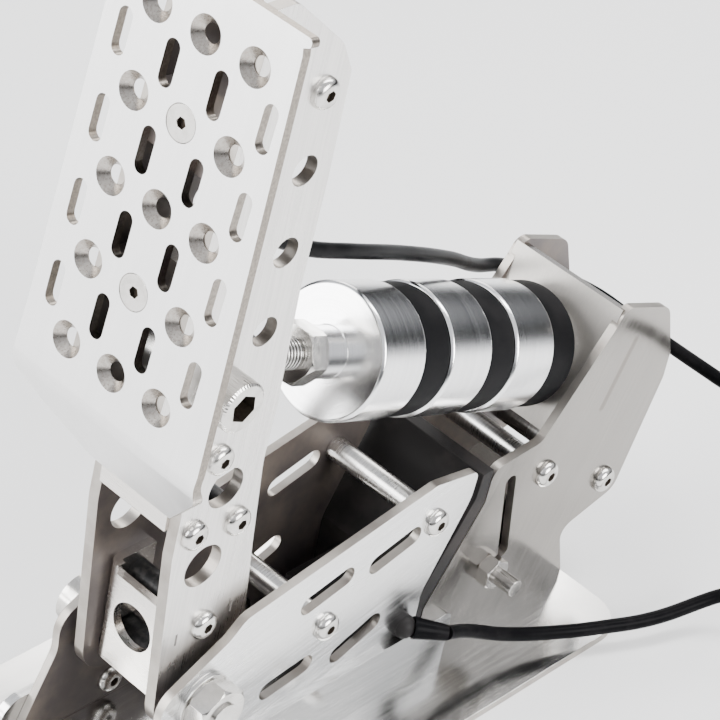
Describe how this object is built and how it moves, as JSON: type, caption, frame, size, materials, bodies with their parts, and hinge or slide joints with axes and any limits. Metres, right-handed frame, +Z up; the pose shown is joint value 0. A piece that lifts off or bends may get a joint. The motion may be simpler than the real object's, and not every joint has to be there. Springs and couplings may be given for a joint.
{
  "type": "sim racing brake pedal module",
  "caption": "Load cell brake pedal module: perforated foot plate on a twin-plate arm, push rod with turned discs and rubbers, folded bracket and slotted cheeks on a floor plate.",
  "frame": {"origin": "bottom centre of the outline without the lead, on the underside of the floor plate", "axes": "+X across the pedal to the driver's right, +Y to the rear, away from the driver, +Z up"},
  "size_m": [0.1358, 0.2927, 0.2815],
  "materials": {
    "sheet_steel": "brushed stainless sheet, fine grain",
    "bright_steel": "turned stainless steel",
    "fastener_steel": "smooth stainless fasteners",
    "black_oxide": "black oxide, satin",
    "turned_aluminium": "fine turned rings",
    "black_rubber": "smooth matt rubber",
    "black_plastic": "fine matt grain",
    "lead_jacket": "soft matt jacket"
  },
  "bodies": {
    "base": {"floor_plate": "sheet_steel", "base_channel": "sheet_steel", "left_cheek": "sheet_steel", "right_cheek": "sheet_steel", "cheek_spacers": "bright_steel", "cheek_screws": "fastener_steel", "foot_screws": "fastener_steel", "rear_bracket": "sheet_steel", "bracket_spacers": "bright_steel", "bracket_screws": "fastener_steel", "bracket_bolt": "fastener_steel", "bracket_nut": "fastener_steel", "bracket_foot_screws": "fastener_steel", "bracket_pad": "black_plastic", "rod_seat": "bright_steel", "pivot_bolt": "fastener_steel", "pivot_nut": "fastener_steel", "pivot_washers": "bright_steel", "amplifier_box": "black_plastic", "lead_gland": "black_plastic", "lead_boot": "lead_jacket", "lead": "lead_jacket"},
    "pedal_arm": {"left_arm_plate": "sheet_steel", "right_arm_plate": "sheet_steel", "arm_sleeve": "black_oxide", "arm_spacers": "black_oxide", "arm_screws": "fastener_steel", "front_web": "sheet_steel", "lip_block": "sheet_steel", "foot_plate": "sheet_steel", "plate_screws": "fastener_steel", "pad_bars": "sheet_steel", "cross_pin": "fastener_steel", "pin_nut": "fastener_steel", "load_cell": "turned_aluminium", "cell_yoke": "bright_steel", "cell_screws": "black_oxide", "cell_gland": "black_plastic"},
    "rod": {"push_rod": "bright_steel", "jam_nut": "fastener_steel", "disc_1": "turned_aluminium", "preload_washer": "bright_steel", "preload_nut": "fastener_steel"},
    "second_disc": {"rubber_1": "black_rubber", "disc_2": "turned_aluminium"},
    "third_disc": {"rubber_2": "black_rubber", "disc_3": "turned_aluminium"},
    "hub": {"rubber_3": "black_rubber", "rear_hub": "bright_steel"}
  },
  "joints": [
    {"name": "arm_pivot", "type": "hinge", "parent": "base", "child": "pedal_arm", "pos_m": [0, -0.074, 0.044], "axis": [-1, 0, 0], "range_deg": [0, 5], "stiffness_Nm_per_rad": 1000, "deforming": ["lead"]},
    {"name": "rod_pivot", "type": "hinge", "parent": "pedal_arm", "child": "rod", "pos_m": [0, -0.08302, 0.15986], "axis": [1, 0, 0], "range_deg": [0, 4]},
    {"name": "second_disc_slide", "type": "slide", "parent": "rod", "child": "second_disc", "axis": [0, -0.9336, 0.3584], "range_m": [0, 0.0031], "deforming": ["rubber_1"]},
    {"name": "third_disc_slide", "type": "slide", "parent": "rod", "child": "third_disc", "axis": [0, -0.9336, 0.3584], "range_m": [0, 0.0062], "deforming": ["rubber_2"]},
    {"name": "hub_slide", "type": "slide", "parent": "rod", "child": "hub", "axis": [0, -0.9336, 0.3584], "range_m": [0, 0.0093], "deforming": ["rubber_3"]}
  ],
  "couplings": [
    {"joint": "rod_pivot", "follows": "arm_pivot", "ratio": 0.7201},
    {"joint": "second_disc_slide", "follows": "arm_pivot", "m_per_rad": 0.035372},
    {"joint": "third_disc_slide", "follows": "arm_pivot", "m_per_rad": 0.070743},
    {"joint": "hub_slide", "follows": "arm_pivot", "m_per_rad": 0.10612}
  ]
}
